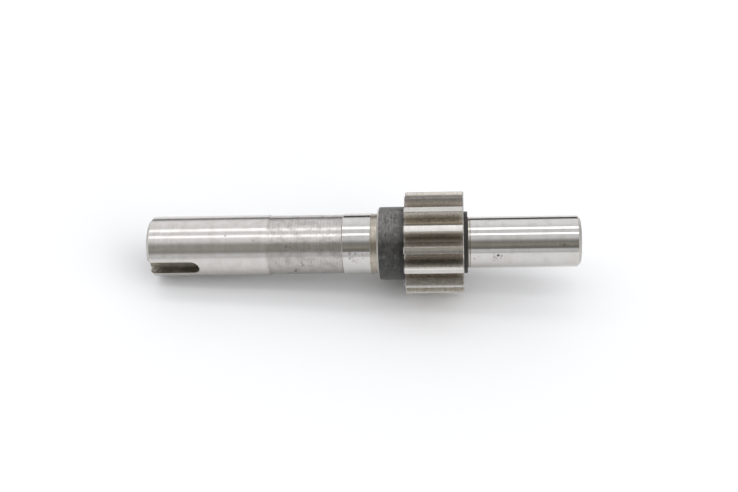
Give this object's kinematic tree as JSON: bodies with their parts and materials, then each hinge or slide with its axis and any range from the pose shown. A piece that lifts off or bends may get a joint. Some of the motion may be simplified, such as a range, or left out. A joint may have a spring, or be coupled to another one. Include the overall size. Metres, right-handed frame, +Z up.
{
  "type": "gear shaft",
  "caption": "Stepped steel shaft with an integral spur pinion, a keyed drive end, a shoulder collar beside a ground bearing seat and a plain ground journal.",
  "frame": {"origin": "on the floor under the middle of the shaft's box, with the shaft at rest on two teeth and the rim of its keyed end", "axes": "+X along the shaft from the keyed end to the journal, which rises 4.4 degrees; +Z up; the keyway faces -Y"},
  "size_m": [0.2122, 0.0498, 0.0515],
  "materials": {
    "steel": "ground and turned"
  },
  "bodies": {
    "root": {"gear_shaft": "steel"}
  },
  "joints": []
}
